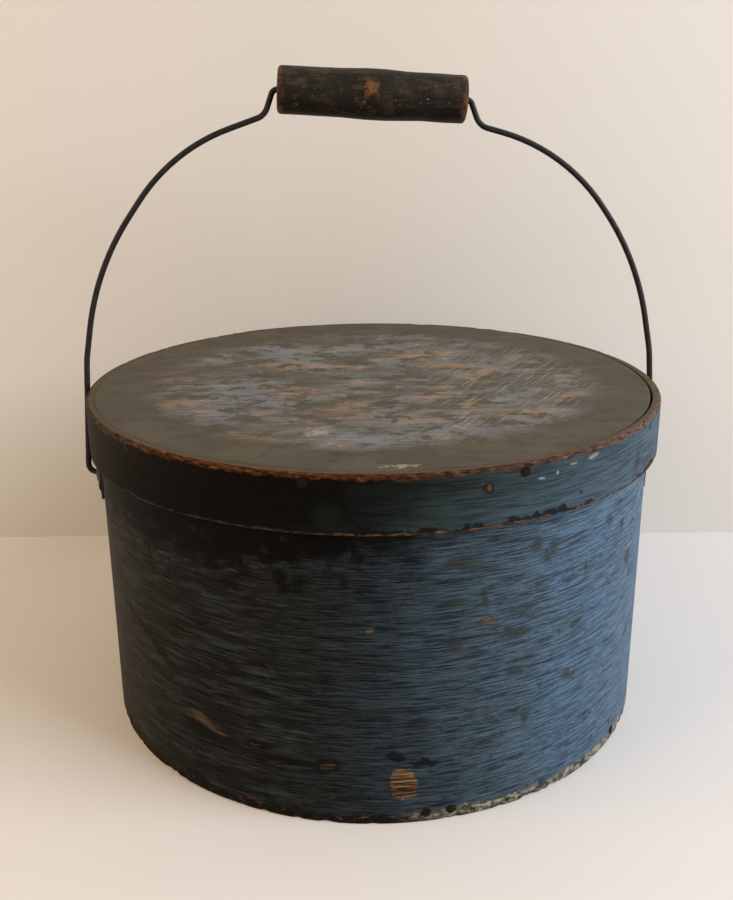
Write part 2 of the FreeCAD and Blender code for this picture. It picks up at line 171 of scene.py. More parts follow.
def streaks(tree, place, along, across, detail=5.0, turn=0.0):
    """A noise whose marks are about `along` by `across` millimetres, turned by some degrees."""
    drawn = node(
        tree, "Mapping",
        {
            "Vector": place,
            "Rotation": (0, 0, math.radians(turn)),
            "Scale": (along * MM, across * MM, across * MM),
        },
        vector_type="TEXTURE",
    )
    return node(
        tree, "TexNoise", {"Vector": drawn, "Scale": 1.0, "Detail": detail, "Roughness": 0.65}
    )


def patches(tree, place, spots):
    """How far a point is from the nearest of some oval patches: 1 is on an edge.

    Each spot is (along, up, half length, half height, turn), in mm and degrees, on
    coordinates in metres.
    """
    nearest = None
    for along, up, length, height, turn in spots:
        local = node(
            tree, "Mapping",
            {
                "Vector": place,
                "Location": (along * MM, up * MM, 0),
                "Rotation": (0, 0, math.radians(turn)),
                "Scale": (length * MM, height * MM, 1),
            },
            vector_type="TEXTURE",
        )
        reach = node(tree, "VectorMath", {0: local}, operation="LENGTH")
        if nearest is not None:
            reach = node(
                tree, "Math", {0: reach.outputs["Value"], 1: nearest}, operation="MINIMUM"
            )
        nearest = reach
    return nearest


def finish_surface(tree, shader, colour, height, depth_mm, value, smooth, rough):
    """Give the shader its colour, its bump and a roughness that follows a value."""
    bump = node(tree, "Bump", {"Height": height, "Distance": depth_mm * MM, "Strength": 1.0})
    roughness = node(tree, "MapRange", {"Value": value, "To Min": smooth, "To Max": rough})
    for result, socket in ((colour, "Base Color"), (bump, "Normal"), (roughness, "Roughness")):
        tree.links.new(first_output(result), shader.inputs[socket])


# Materials

# How far the colours run along a bent strip, in metres left and right of the front
STRIP_LEFT = -0.43
STRIP_RIGHT = 0.51


def round_the_strip(tree, sway, stops):
    """Colour stops along a bent strip, from the back round by the left to the back again."""
    share = node(
        tree, "MapRange", {"Value": sway, "From Min": STRIP_LEFT, "From Max": STRIP_RIGHT}
    )
    return node(tree, "ValToRGB", {"Fac": share}, stops=stops)


def milk_paint_on_body():
    """Milk paint brushed on bent ash.

    A chalky blue coat, in brush lines that show dark gaps about 1 mm apart. On the left
    it is darkened by brown grime and by painted shade, and there it goes near black in a
    painted shadow just below the lid. Bluer runs show on the right, olive spots are spread
    over it, and it is rubbed through in a few places and chipped along the foot. At the
    lap both ends of the strip have one colour.
    """
    material, tree, shader = new_material("milk_paint_on_bent_ash", Specular_IOR_Level=0.05)
    strip = node(tree, "UVMap", uv_map="strip")
    along = node(tree, "SeparateXYZ", {"Vector": strip})
    waved = ragged(tree, strip, 45, 1.2)
    lines = streaks(tree, waved, 17, 0.6)
    threads = streaks(tree, waved, 5, 0.4, 3.0)
    drifts = streaks(tree, waved, 40, 10)
    runs = streaks(tree, waved, 34, 3.5)
    torn = ragged(tree, strip, 8, 4)
    torn_up = node(tree, "SeparateXYZ", {"Vector": torn}).outputs["Y"]
    blots = streaks(tree, torn, 13, 9)
    flecks = streaks(tree, torn, 5.0, 2.4)
    sway = node(tree, "Math", {0: drifts, 1: 0.08, 2: along.outputs["X"]}, operation="MULTIPLY_ADD")
    # Along the strip the coat and its gaps darken on the left with brown grime and painted shade,
    # and are bluest on the right
    coat = round_the_strip(tree, sway, [
        (0.0, "#302f2a"), (0.30, "#38332a"), (0.355, "#2c2a22"), (0.40, "#1d1c16"),
        (0.44, "#262722"), (0.47, "#2c3234"), (0.505, "#35424b"), (0.555, "#4f6372"),
        (0.61, "#5f788d"), (0.68, "#6f859a"), (0.80, "#5a6770"), (0.92, "#34352f"),
        (1.0, "#302f2a"),
    ])
    gaps = round_the_strip(tree, sway, [
        (0.0, "#12110d"), (0.33, "#100d08"), (0.40, "#050302"), (0.47, "#080706"),
        (0.505, "#0f1214"), (0.555, "#20272c"), (0.62, "#303b44"), (0.70, "#414f59"),
        (0.80, "#2f383e"), (0.92, "#14130f"), (1.0, "#12110d"),
    ])
    strip_middle = (STRIP_LEFT + STRIP_RIGHT) / 2
    from_back = node(
        tree, "Math", {0: along.outputs["X"], 1: strip_middle}, operation="SUBTRACT"
    )
    round_to = node(tree, "Math", {0: from_back}, operation="ABSOLUTE")
    in_sight = node(tree, "MapRange", {"Value": round_to, "From Min": 0.46, "From Max": 0.28})
    # The left mask carries both the grime and the painted shade on that side
    left = node(tree, "MapRange", {"Value": sway, "From Min": 0.10, "From Max": -0.02})
    right = node(tree, "MapRange", {"Value": sway, "From Min": 0.03, "From Max": 0.12})
    grime_and_shade = node(tree, "Math", {0: left, 1: in_sight}, operation="MULTIPLY")
    clean = node(tree, "Math", {0: right, 1: in_sight}, operation="MULTIPLY")
    bluest = node(tree, "Math", {0: runs, 1: clean}, operation="MULTIPLY")
    greyest = node(tree, "Math", {0: runs, 1: grime_and_shade}, operation="MULTIPLY")
    # Painted shadow: on the left the body goes near black just below the lid's band
    rise = node(tree, "Math", {0: blots, 1: 0.10, 2: along.outputs["Y"]}, operation="MULTIPLY_ADD")
    shade = node(tree, "MapRange", {"Value": rise, "From Min": 0.165, "From Max": 0.190})
    shadow_below_lid = node(tree, "Math", {0: shade, 1: grime_and_shade}, operation="MULTIPLY")
    bare = patches(tree, torn, [
        (3.4, 22.8, 4.6, 6.6, 0), (7.4, 22.2, 4.6, 6.8, 0), (5.4, 17.6, 5.8, 3.6, 0),
    ])
    rubbed = patches(tree, torn, [
        (-96, 41.5, 8, 2.6, -8), (-86, 37.5, 6, 2.2, -8), (-28.8, 31.6, 3.4, 2.3, 0),
        (-64, 36.4, 2.6, 1.0, 0), (44.4, 100.7, 3.2, 1.4, 0), (77.8, 30, 3.2, 1.0, 10),
        (-9.8, 101, 1.4, 1.2, 0), (-65.7, 5.4, 4.5, 1.4, 0),
    ])
    stains = patches(tree, torn, [
        (-50, 31.4, 22, 1.7, 1), (-29.5, 31.2, 5.6, 4.2, 0), (-64.2, 36.6, 5.5, 2.6, 0),
        (-90, 34, 17, 3.4, -6), (-142, 77, 20, 2.6, -22), (-122, 68, 6, 3, -20),
        (1.9, 36.2, 4.4, 3.2, 0), (14.6, 32.6, 6.0, 2.0, 0),
    ])
    spots = patches(tree, torn, [
        (41.6, 112, 1.9, 5.5, 0), (43.6, 101, 5.5, 1.6, 0), (26.7, 112.7, 4.6, 3.2, 0),
        (28.5, 90.4, 2.6, 3.8, 0), (62.4, 102.2, 7.5, 1.7, 4), (57.5, 92, 9, 3.0, 0),
        (58.3, 72.7, 4.6, 2.8, 0), (46.7, 50, 2.2, 5.6, 52), (64.7, 45.5, 2.2, 3.2, 0),
        (30.3, 130.3, 9, 3.4, 0), (67.3, 132, 4.2, 3.2, 0), (75, 127.7, 5.2, 2.4, 30),
        (90, 110.6, 5.5, 2.0, 0), (118, 130.7, 3.4, 3.0, 0), (132, 125.1, 2.4, 4.2, 0),
        (89.3, 60.7, 3.4, 2.8, 0), (143.7, 102.7, 4.4, 4.4, 0),
    ])
    wood = node(
        tree, "ValToRGB", {"Fac": lines},
        stops=[(0.42, "#1a1109"), (0.48, "#4a3422"), (0.54, "#6f553b"), (0.62, "#8d7254")],
    )
    foot_left = node(
        tree, "ValToRGB", {"Fac": flecks},
        stops=[(0.45, "#0f0a06"), (0.60, "#20150c"), (0.67, "#7a4f2a")],
    )
    foot_right = node(
        tree, "ValToRGB", {"Fac": flecks},
        stops=[(0.38, "#2a2116"), (0.45, "#4c4c40"), (0.52, "#7d7561"), (0.60, "#b0a68c")],
    )
    foot = layered(tree, foot_left, [(clean, 0.0, 0.4, 1.0, foot_right)])
    colour = layered(tree, coat, [
        (bluest, 0.42, 0.60, 0.6, "#577597"),
        (greyest, 0.44, 0.60, 0.6, "#3f484c"),
        (lines, 0.58, 0.40, 0.9, gaps),
        (threads, 0.50, 0.38, 0.45, gaps),
        (blots, 0.59, 0.66, 0.55, "#2c2d26"),
        (shadow_below_lid, 0.1, 0.75, 0.95, "#050302"),
        (spots, 1.3, 0.6, 0.6, "#303229"),
        (stains, 1.35, 0.65, 0.8, "#0b0704"),
        (rubbed, 1.3, 0.3, 0.55, wood),
        (bare, 1.12, 0.92, 1.0, wood),
        (torn_up, 0.0068, 0.0036, 0.85, foot),
        (along.outputs["Y"], 0.0012, 0.0004, 0.8, "#1d150d"),
    ])
    height = node(tree, "Math", {0: threads, 1: 0.4, 2: lines}, operation="MULTIPLY_ADD")
    finish_surface(
        tree, shader, colour, height,
        depth_mm=0.45, value=grime_and_shade, smooth=0.62, rough=0.5,
    )
    return material


def milk_paint_on_band():
    """The same milk paint on the lid's bent band, more handled.

    Nearly black on the left, from grime and painted shade, with teal runs where it
    thins, and blue on the right. The upper corner is rubbed to orange wood and the
    lower edge to tan.
    """
    material, tree, shader = new_material("milk_paint_on_lid_band", Specular_IOR_Level=0.05)
    strip = node(tree, "UVMap", uv_map="strip")
    along = node(tree, "SeparateXYZ", {"Vector": strip})
    waved = ragged(tree, strip, 50, 1.4)
    lines = streaks(tree, waved, 22, 0.9)
    drifts = streaks(tree, waved, 40, 8)
    torn = ragged(tree, strip, 6, 2.4)
    torn_up = node(tree, "SeparateXYZ", {"Vector": torn}).outputs["Y"]
    flecks = streaks(tree, torn, 5.0, 1.6)
    runs = streaks(tree, strip, 11, 60)
    # The grime and painted shade reach further right the higher they are, and are true to their
    # stops at this height
    grime_and_shade_slope, true_height = 1.4, 0.16686
    slope = node(
        tree, "Math",
        {0: along.outputs["Y"], 1: -grime_and_shade_slope, 2: along.outputs["X"]},
        operation="MULTIPLY_ADD",
    )
    sway = node(tree, "Math", {0: drifts, 1: 0.06, 2: slope}, operation="MULTIPLY_ADD")
    level = node(tree, "Math", {0: sway, 1: grime_and_shade_slope * true_height}, operation="ADD")
    # Along the band the coat and its gaps go nearly black on the left, with grime and painted
    # shade, and blue on the right
    coat = round_the_strip(tree, level, [
        (0.0, "#26251f"), (0.30, "#26221a"), (0.36, "#14110c"), (0.42, "#090705"),
        (0.47, "#0b0b08"), (0.50, "#182120"), (0.53, "#2e3b3c"), (0.59, "#435661"),
        (0.66, "#50636f"), (0.85, "#414b4f"), (1.0, "#26251f"),
    ])
    gaps = round_the_strip(tree, level, [
        (0.0, "#0e0c07"), (0.30, "#100d07"), (0.40, "#040302"), (0.47, "#060504"),
        (0.50, "#101210"), (0.54, "#1e2424"), (0.60, "#2c373d"), (0.70, "#34404a"),
        (1.0, "#0e0c07"),
    ])
    rim = round_the_strip(tree, along.outputs["X"], [
        (0.0, "#4a3522"), (0.25, "#3f3727"), (0.31, "#4a3a26"), (0.35, "#573216"),
        (0.46, "#4f2a14"), (0.52, "#4c3227"), (0.58, "#614a40"), (0.66, "#6e5c4f"),
        (1.0, "#4a3522"),
    ])
    worn_rim = layered(
        tree, rim, [(flecks, 0.52, 0.42, 0.85, "#170d07"), (flecks, 0.58, 0.66, 0.5, "#8a765f")]
    )
    edge = layered(tree, linear("#3a332a"), [
        (along.outputs["X"], -0.06, 0.02, 1.0, "#6b4a30"),
        (flecks, 0.52, 0.44, 0.8, "#1d0f08"),
    ])
    up = along.outputs["Y"]
    drips = node(tree, "Math", {0: runs, 1: -0.016, 2: up}, operation="MULTIPLY_ADD")
    chips = patches(tree, torn, [(97, 170.4, 3.4, 1.0, 4), (84, 169.8, 2.2, 0.6, 0)])
    holes = patches(tree, torn, [(40.8, 165.9, 1.1, 1.2, 0)])
    pits = patches(tree, torn, [(89.7, 155.6, 1.3, 1.3, 0), (40.8, 165.5, 2.4, 2.2, 0)])
    smudges = patches(tree, torn, [(137, 158, 3.5, 9, -12), (-28, 156, 6, 5, 0)])
    scrapes = patches(tree, torn, [(66, 166.2, 2.4, 0.5, -8), (75, 167.6, 0.7, 0.7, 0)])
    colour = layered(tree, coat, [
        (lines, 0.58, 0.40, 0.85, gaps),
        (drips, 0.1425, 0.1415, 0.8, "#0a0704"),
        (smudges, 1.6, 0.2, 0.45, "#1c2220"),
        (pits, 1.3, 0.7, 0.7, "#16120d"),
        (chips, 1.3, 0.7, 0.7, "#978b72"),
        (holes, 1.2, 0.8, 0.9, "#5f3d22"),
        (scrapes, 1.3, 0.7, 0.7, "#8499a8"),
        (torn_up, band_low.z + 1.2 * MM, band_low.z + 0.6 * MM, 0.9, edge),
        (torn_up, lid_top - 2.8 * MM, lid_top - 1.4 * MM, 0.92, worn_rim),
        (up, lid_top + 1.2 * MM, lid_top + 2.0 * MM, 0.9, "#4f473a"),
    ])
    finish_surface(
        tree, shader, colour, lines,
        depth_mm=0.4, value=lines, smooth=0.5, rough=0.66,
    )
    return material


def worn_paint_on_lid():
    """Thin milk paint on a pine board, worn by hands and by what stood on it.

    A grey-olive ring is left near the edge. Inside it are blue-grey scuffs, dark
    olive dabs and pinkish bare pine, with slanting scratches on the right.
    """
    material, tree, shader = new_material("worn_milk_paint_on_pine", Specular_IOR_Level=0.2)
    place = node(tree, "TexCoord").outputs["Object"]
    sides = node(tree, "SeparateXYZ", {"Vector": place})
    torn = ragged(tree, place, 26, 12)
    flat = node(tree, "VectorMath", {0: torn, 1: (1, 1, 0)}, operation="MULTIPLY")
    reach = node(tree, "VectorMath", {0: flat}, operation="LENGTH").outputs["Value"]
    grain = streaks(tree, place, 20, 1.1)
    zones = streaks(tree, torn, 55, 42, 5.0, 8)
    scuffs = streaks(tree, torn, 30, 22, 6.0)
    stands = streaks(tree, torn, 40, 24, 6.0, 30)
    dabs = streaks(tree, ragged(tree, place, 12, 8), 15, 11)
    scratches = streaks(tree, place, 30, 0.7, 2.0, 58)
    ring = layered(tree, linear("#413d33"), [
        (scuffs, 0.44, 0.60, 0.6, "#514c40"),
        (dabs, 0.47, 0.38, 0.6, "#353125"),
        (grain, 0.50, 0.38, 0.3, "#322d23"),
    ])
    middle = layered(tree, linear("#4e4b41"), [
        (scuffs, 0.44, 0.54, 0.8, "#63676a"),
        (zones, 0.52, 0.64, 0.6, "#717981"),
        (stands, 0.51, 0.60, 0.75, "#806c58"),
        (dabs, 0.49, 0.41, 0.85, "#3a382c"),
        (dabs, 0.60, 0.67, 0.6, "#97826c"),
        (zones, 0.50, 0.40, 0.6, "#45433a"),
        (grain, 0.52, 0.40, 0.5, "#38352c"),
        (grain, 0.58, 0.68, 0.35, "#8c9297"),
    ])
    scored = layered(tree, middle, [(scratches, 0.58, 0.66, 0.5, "#a39c90")])
    middle = layered(tree, middle, [(sides.outputs["X"], -0.01, 0.05, 1.0, scored)])
    tan = patches(tree, torn, [
        (46, 30, 17, 5, 10), (62, 12, 20, 5, 30), (98, -36, 9, 4, 20),
        (22, 52, 14, 4, 10), (-24, 34, 15, 4, 0),
    ])
    splashed = ragged(tree, place, 4, 9)
    cream = patches(tree, splashed, [(-30.3, -91.9, 7, 6, 20), (3.6, -141, 9, 1.6, 0)])
    colour = layered(tree, ring, [
        (reach, 0.126, 0.104, 1.0, middle),
        (tan, 1.4, 0.6, 0.5, "#8c7258"),
        (cream, 1.2, 0.3, 0.6, "#a39c89"),
    ])
    finish_surface(
        tree, shader, colour, grain,
        depth_mm=0.25, value=scuffs, smooth=0.5, rough=0.7,
    )
    return material


def bare_board():
    """Bare pine gone brown with age, with straight grain along X."""
    material, tree, shader = new_material("aged_bare_pine", Specular_IOR_Level=0.35)
    place = node(tree, "TexCoord").outputs["Object"]
    grain = streaks(tree, ragged(tree, place, 80, 4), 70, 2.2)
    colour = node(
        tree, "ValToRGB", {"Fac": grain},
        stops=[(0.3, "#4c3825"), (0.5, "#745639"), (0.7, "#8d6d4b")],
    )
    finish_surface(
        tree, shader, colour, grain,
        depth_mm=0.3, value=grain, smooth=0.5, rough=0.8,
    )
    return material


def dark_iron(name, pale, dark, rust, rust_from):
    """Old iron: a dark oxide skin with brown rust freckles and a slight sheen."""
    material, tree, shader = new_material(name, Metallic=0.5)
    place = node(tree, "TexCoord").outputs["Object"]
    skin = streaks(tree, place, 4, 4, 6.0)
    freckles = streaks(tree, place, 2.4, 2.4)
    tone = node(tree, "ValToRGB", {"Fac": skin}, stops=[(0.35, dark), (0.7, pale)])
    colour = layered(tree, tone, [(freckles, rust_from, rust_from + 0.12, 0.8, rust)])
    finish_surface(
        tree, shader, colour, skin,
        depth_mm=0.12, value=freckles, smooth=0.3, rough=0.75,
    )
    return material


def painted_over_iron():
    """Nail heads under the box's old paint, so only a few show their rusty iron.

    The paint on them is nearly black on the left and blue-grey on the right. The
    bare heads are a dark brown with a rusty rim.
    """
    material, tree, shader = new_material("painted_over_nail_iron", Specular_IOR_Level=0.1)
    place = node(tree, "TexCoord").outputs["Object"]
    skin = streaks(tree, place, 3, 1.2)
    sides = node(tree, "SeparateXYZ", {"Vector": place})
    share = node(
        tree, "MapRange", {"Value": sides.outputs["X"], "From Min": -0.15, "From Max": 0.15}
    )
    # The paint on the heads follows the band's, darkened on the left by grime and painted shade
    paint = node(
        tree, "ValToRGB", {"Fac": share},
        stops=[(0.0, "#1e1b14"), (0.45, "#0a0806"), (0.60, "#1d2321"), (0.9, "#46545c")],
    )
    heads = patches(tree, place, [
        (16.2, -146.6, 6, 6, 0), (27.9, -144.8, 6, 6, 0), (119.8, -86.1, 6, 6, 0),
        (56.4, -141.1, 6, 6, 0),
    ])
    rust = node(tree, "ValToRGB", {"Fac": skin}, stops=[(0.45, "#0c0805"), (0.6, "#2a1a10")])
    colour = layered(tree, paint, [
        (skin, 0.50, 0.40, 0.6, "#14110c"),
        (heads, 1.1, 0.9, 1.0, rust),
    ])
    finish_surface(
        tree, shader, colour, skin,
        depth_mm=0.15, value=skin, smooth=0.45, rough=0.75,
    )
    return material


def blackened_maple():
    """Turned maple under near-black old paint.

    It is rubbed to orange-brown wood in a patch at the middle and round both ends,
    with small pale nicks.
    """
    material, tree, shader = new_material("blackened_turned_maple", Specular_IOR_Level=0.2)
    place = node(tree, "TexCoord").outputs["Object"]
    torn = ragged(tree, place, 4, 4.5)
    torn_across = node(tree, "SeparateXYZ", {"Vector": torn}).outputs["X"]
    facing_front = node(
        tree, "Mapping", {"Vector": torn, "Rotation": (math.pi / 2, 0, 0)}, vector_type="TEXTURE"
    )
    rubbed = patches(tree, facing_front, [
        (grip_centre.x / MM - 1.0, grip_centre.z / MM - 3.0, 4.8, 10.5, 0),
    ])
    grain = streaks(tree, place, 12, 1.3)
    wear = streaks(tree, torn, 9, 6)
    nicks = streaks(tree, ragged(tree, place, 3, 1.5), 2.6, 1.8, 2.0)
    middle = node(tree, "Math", {0: torn_across, 1: grip_centre.x}, operation="SUBTRACT")
    from_middle = node(tree, "Math", {0: middle}, operation="ABSOLUTE")
    wood = node(
        tree, "ValToRGB", {"Fac": wear},
        stops=[(0.44, "#150d08"), (0.52, "#3f2816"), (0.60, "#6a4526")],
    )
    rims = node(tree, "ValToRGB", {"Fac": wear}, stops=[(0.42, "#1c110a"), (0.58, "#67401f")])
    colour = layered(tree, linear("#1b150e"), [
        (wear, 0.46, 0.60, 0.7, "#3d3324"),
        (grain, 0.52, 0.40, 0.75, "#0c0906"),
        (rubbed, 1.15, 0.75, 0.9, wood),
        (from_middle, 0.0465, 0.0495, 0.8, rims),
        (nicks, 0.69, 0.73, 0.7, "#7d7563"),
    ])
    finish_surface(
        tree, shader, colour, wear,
        depth_mm=0.35, value=wear, smooth=0.4, rough=0.7,
    )
    return material


# Pieces

def finish_piece(bm, name, body, material, replaced):
    """Turn a finished bmesh into a piece that rides on a body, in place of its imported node."""
    bmesh.ops.recalc_face_normals(bm, faces=bm.faces)
    for face in bm.faces:
        face.smooth = True
    mesh = bpy.data.meshes.new(name)
    bm.to_mesh(mesh)
    bm.free()
    mesh.materials.append(material)
    piece = bpy.data.objects.new(name, mesh)
    bpy.context.scene.collection.objects.link(piece)
    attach(piece, body)
    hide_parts(replaced)


def planed(radius, angle, outer, wall):
    """Where a point of the strip lies once its two ends are thinned to cross in the lap."""
    inner = outer - wall
    far = 2 * math.pi
    low, high = inner, outer
    if angle < LAP_HALF:
        along = (angle + LAP_HALF) / (2 * LAP_HALF)
        high = inner + LAP_FEATHER + along * (wall - 2 * LAP_FEATHER)
    elif angle > far - LAP_HALF:
        along = (angle - far + LAP_HALF) / (2 * LAP_HALF)
        low = inner + LAP_FEATHER + LAP_SEAM + along * (wall - 2 * LAP_FEATHER)
        high = outer + along * LAP_STEP
    return low + (radius - inner) / wall * (high - low)


def bent_strip(outer, wall, foot, top, lap_at, corners, rows, steps):
    """A thin board bent round until its ends cross in a lap.

    The outline of its section is drawn first. A flat grid, with a row for each
    point of that outline, is then bent round and closed. A vertex layer keeps how
    far round each point is, because the ends lie over each other.
    """
    section = bmesh.new()
    inner = outer - wall
    square = [(outer, foot), (outer, top), (inner, top), (inner, foot)]
    blank = section.faces.new([section.verts.new((x, 0, z)) for x, z in square])
    for corner, rounding in zip(list(blank.verts), corners):
        bmesh.ops.bevel(
            section, geom=[corner], offset=rounding, segments=5, profile=0.5,
            affect="VERTICES", material=-1,
        )
    for edge in list(section.edges):
        if edge.calc_length() > (top - foot) / 2:
            cuts = rows if edge.verts[0].co.x > (outer + inner) / 2 else rows // 5
            bmesh.ops.subdivide_edges(section, edges=[edge], cuts=cuts)
    section.faces.ensure_lookup_table()
    outline = [vert.co.copy() for vert in section.faces[0].verts]
    section.free()

    bm = bmesh.new()
    travel = bm.verts.layers.float.new("travel")
    bmesh.ops.create_grid(bm, x_segments=steps, y_segments=len(outline), size=0.5)
    for vert in bm.verts:
        point = outline[round((vert.co.y + 0.5) * len(outline)) % len(outline)]
        angle = (vert.co.x + 0.5) * (2 * math.pi + 2 * LAP_HALF) - LAP_HALF
        radius = planed(point.x, angle, outer, wall)
        vert[travel] = angle
        vert.co = Matrix.Rotation(lap_at + angle, 3, "Z") @ Vector((radius, 0, point.z))
    bmesh.ops.remove_doubles(bm, verts=bm.verts, dist=0.0005 * MM)
    open_edges = [edge for edge in bm.edges if edge.is_boundary]
    for end in (True, False):
        loop = [edge for edge in open_edges if (edge.verts[0][travel] > 0) == end]
        bmesh.ops.contextual_create(bm, geom=loop)
    uv = bm.loops.layers.uv.new("strip")
    for face in bm.faces:
        for corner in face.loops:
            vert = corner.vert
            away = vert[travel] + lap_at - FRONT - 2 * math.pi
            radius = math.hypot(vert.co.x, vert.co.y)
            corner[uv].uv = (away * outer, vert.co.z + outer - radius)
    return bm


def push(vert, outward, upward):
    """Move a vertex away from the box's axis, and up."""
    radius = math.hypot(vert.co.x, vert.co.y)
    vert.co.x *= 1 + outward / radius
    vert.co.y *= 1 + outward / radius
    vert.co.z += upward


def chipped(spot, size, above, gain, most):
    """How deep the wood is chipped at a point: nothing, or up to the most it may be."""
    chip = max(0.0, noise.fractal(spot * size, 0.8, 2.0, 4) - above)
    return min(chip * gain, most)


def body_hoop():
    """The box's bent side, slightly out of true, its foot chipped."""
    chip_top = 4 * MM
    calm_below_band = 20 * MM
    bm = bent_strip(
        body_radius, BODY_WALL, body_low.z, body_high.z, BODY_LAP_AT,
        corners=(0.9 * MM, 0.5 * MM, 0.5 * MM, 0.5 * MM), rows=44, steps=560,
    )
    for vert in bm.verts:
        spot = vert.co.copy()
        calm = min(1.0, max(0.0, (band_low.z - spot.z) / calm_below_band))
        wave = noise.noise(spot * 14) * 0.25 * MM * calm
        bite = 0.0
        if spot.z < chip_top and math.hypot(spot.x, spot.y) > body_radius - BODY_WALL / 2:
            bite = chipped(spot, 90, 0.15, 3.0 * MM, 1.2 * MM) * (1 - spot.z / chip_top)
        push(vert, wave - bite, 0.0)
    return bm


def lid_band():
    """The lid's bent rim, its upper corner worn round and its lower edge nicked."""
    worn = 2.0 * MM
    bm = bent_strip(
        band_radius, BAND_WALL, band_low.z, band_high.z, LID_LAP_AT,
        corners=(0.5 * MM, 1.3 * MM, 0.3 * MM, 0.4 * MM), rows=16, steps=720,
    )
    for vert in bm.verts:
        spot = vert.co.copy()
        if math.hypot(spot.x, spot.y) < band_radius - BAND_WALL / 2:
            continue
        wave = noise.noise(spot * 16) * 0.15 * MM
        low = max(0.0, 1 - (spot.z - band_low.z) / worn)
        high = max(0.0, 1 - (band_high.z - spot.z) / worn)
        bite = chipped(spot, 80, 0.2, 2.0 * MM, 0.8 * MM) if low > 0 or high > 0 else 0.0
        push(vert, wave - bite * max(low, high * 0.6), bite * (low * 0.6 - high * 0.25))
    return bm


def lid_board():
    """The round board: hollowed a little by wear, and shrunk from its band on the right.

    A narrow gap is open on the right, and closes to a thin line elsewhere.
    """
    bm = bmesh.new()
    tight_gap, open_gap = 0.08 * MM, 1.1 * MM
    open_at = math.radians(-12)
    hollow = 0.25 * MM
    radius = band_radius - BAND_WALL - tight_gap
    foot, top = board_low.z, board_high.z
    thickness = top - foot
    outline = [(0.0, foot), (radius, foot), (radius, top), (0.0, top)]
    verts = [bm.verts.new((x, 0, z)) for x, z in outline]
    for pair in zip(verts, verts[1:]):
        bm.edges.new(pair)
    bmesh.ops.bevel(
        bm, geom=[verts[1], verts[2]], offset=0.4 * MM, segments=3, profile=0.5,
        affect="VERTICES", material=-1,
    )
    for edge in list(bm.edges):
        if edge.calc_length() > 2 * thickness:
            cuts = 40 if edge.verts[0].co.z > foot + thickness / 2 else 8
            bmesh.ops.subdivide_edges(bm, edges=[edge], cuts=cuts)
    bmesh.ops.spin(
        bm, geom=bm.verts[:] + bm.edges[:], cent=(0, 0, 0), axis=(0, 0, 1), angle=2 * math.pi,
        steps=240, use_merge=True,
    )
    bmesh.ops.remove_doubles(bm, verts=bm.verts, dist=0.01 * MM)
    for vert in bm.verts:
        spot = vert.co.copy()
        reach = math.hypot(spot.x, spot.y)
        if reach > 0:
            away = math.atan2(spot.y, spot.x) - open_at
            shrink = open_gap * max(0.0, math.cos(away)) ** 3
            push(vert, -shrink * (reach / radius) ** 4, 0.0)
        if spot.z > foot + thickness / 2:
            vert.co.z += (noise.noise(spot * 22) - 0.6) * hollow * (1 - (reach / radius) ** 6)
    return bm


def bent_route(corners, bends, steps=12):
    """Points along straight runs, each inner corner bent to its radius."""
    points = [corners[0]]
    for before, corner, after, bend in zip(corners, corners[1:], corners[2:], bends):
        back = (before - corner).normalized()
        on = (after - corner).normalized()
        half = back.angle(on) / 2
        centre = corner + (back + on).normalized() * (bend / math.sin(half))
        first = corner + back * (bend / math.tan(half)) - centre
        last = corner + on * (bend / math.tan(half)) - centre
        for i in range(steps + 1):
            points.append(centre + first.slerp(last, i / steps).normalized() * bend)
    return points + [corners[-1]]


def turned_and_moved(bm, turn, place):
    """Turn a bmesh about the origin, then move it."""
    bmesh.ops.rotate(bm, verts=bm.verts, cent=(0, 0, 0), matrix=turn)
    bmesh.ops.translate(bm, verts=bm.verts, vec=place)
    return bm


# The bail leans back, so its wire lies in a plane through the pivots. The mouth is
# where the wire goes into the grip, in millimetres from the grip's middle
WIRE_RADIUS = 1.6 * MM
BAIL_UP = (grip_centre - pivot) * Vector((0, 1, 1))
LEAN = math.atan2(BAIL_UP.y, BAIL_UP.z)
TILT = -math.asin(grip_axis.dot(BAIL_UP.normalized()))
RISE = BAIL_UP.length / MM
SHIFT = grip_centre.x / MM
MOUTH = 52.94

# The wire's corners on one side: across, up from the pivot, bend radius in
# millimetres, and how much of the grip's tilt and of its shift they follow
BAIL_ROUTE = [
    (139.5, -12.0, 3.2, 0, 0),
    (139.5, 0.0, 3.2, 0, 0),
    (157.9, 0.0, 4.48, 0, 0),
    (155.8, 61.9, 60.0, 0, 0),
    (148.3, 110.8, 140.0, 0, 0),
    (106.5, RISE - 29.0, 100.0, 1 / 3, 1 / 2),
    (MOUTH + 4.8, RISE - 13.6, 9.0, 1, 1),
    (MOUTH, RISE, 3.6, 1, 1),
]


def bail_wire():
    """The bail: one iron wire along its bent route, leaning back."""
    halves = []
    for side in (-1, 1):
        lift = -side * MOUTH * math.tan(TILT)
        halves.append([
            (Vector((side * x + shifted * SHIFT, 0, up + lift * lifted)) * MM, bend * MM)
            for x, up, bend, lifted, shifted in BAIL_ROUTE
        ])
    whole = halves[0] + halves[1][::-1]
    corners = [corner for corner, bend in whole]
    bends = [bend for corner, bend in whole[1:-1]]
    line = bpy.data.curves.new("bail_line", "CURVE")
    line.dimensions = "3D"
    line.bevel_depth = WIRE_RADIUS
    line.bevel_resolution = 5
    line.use_fill_caps = True
    route = bent_route(corners, bends)
    spline = line.splines.new("POLY")
    spline.points.add(len(route) - 1)
    for point, place in zip(spline.points, route):
        point.co = (*place, 1)
    holder = bpy.data.objects.new("bail_line", line)
    bm = bmesh.new()
    bm.from_mesh(bpy.data.meshes.new_from_object(holder))
    bpy.data.objects.remove(holder)
    return turned_and_moved(bm, Matrix.Rotation(-LEAN, 3, "X"), pivot)


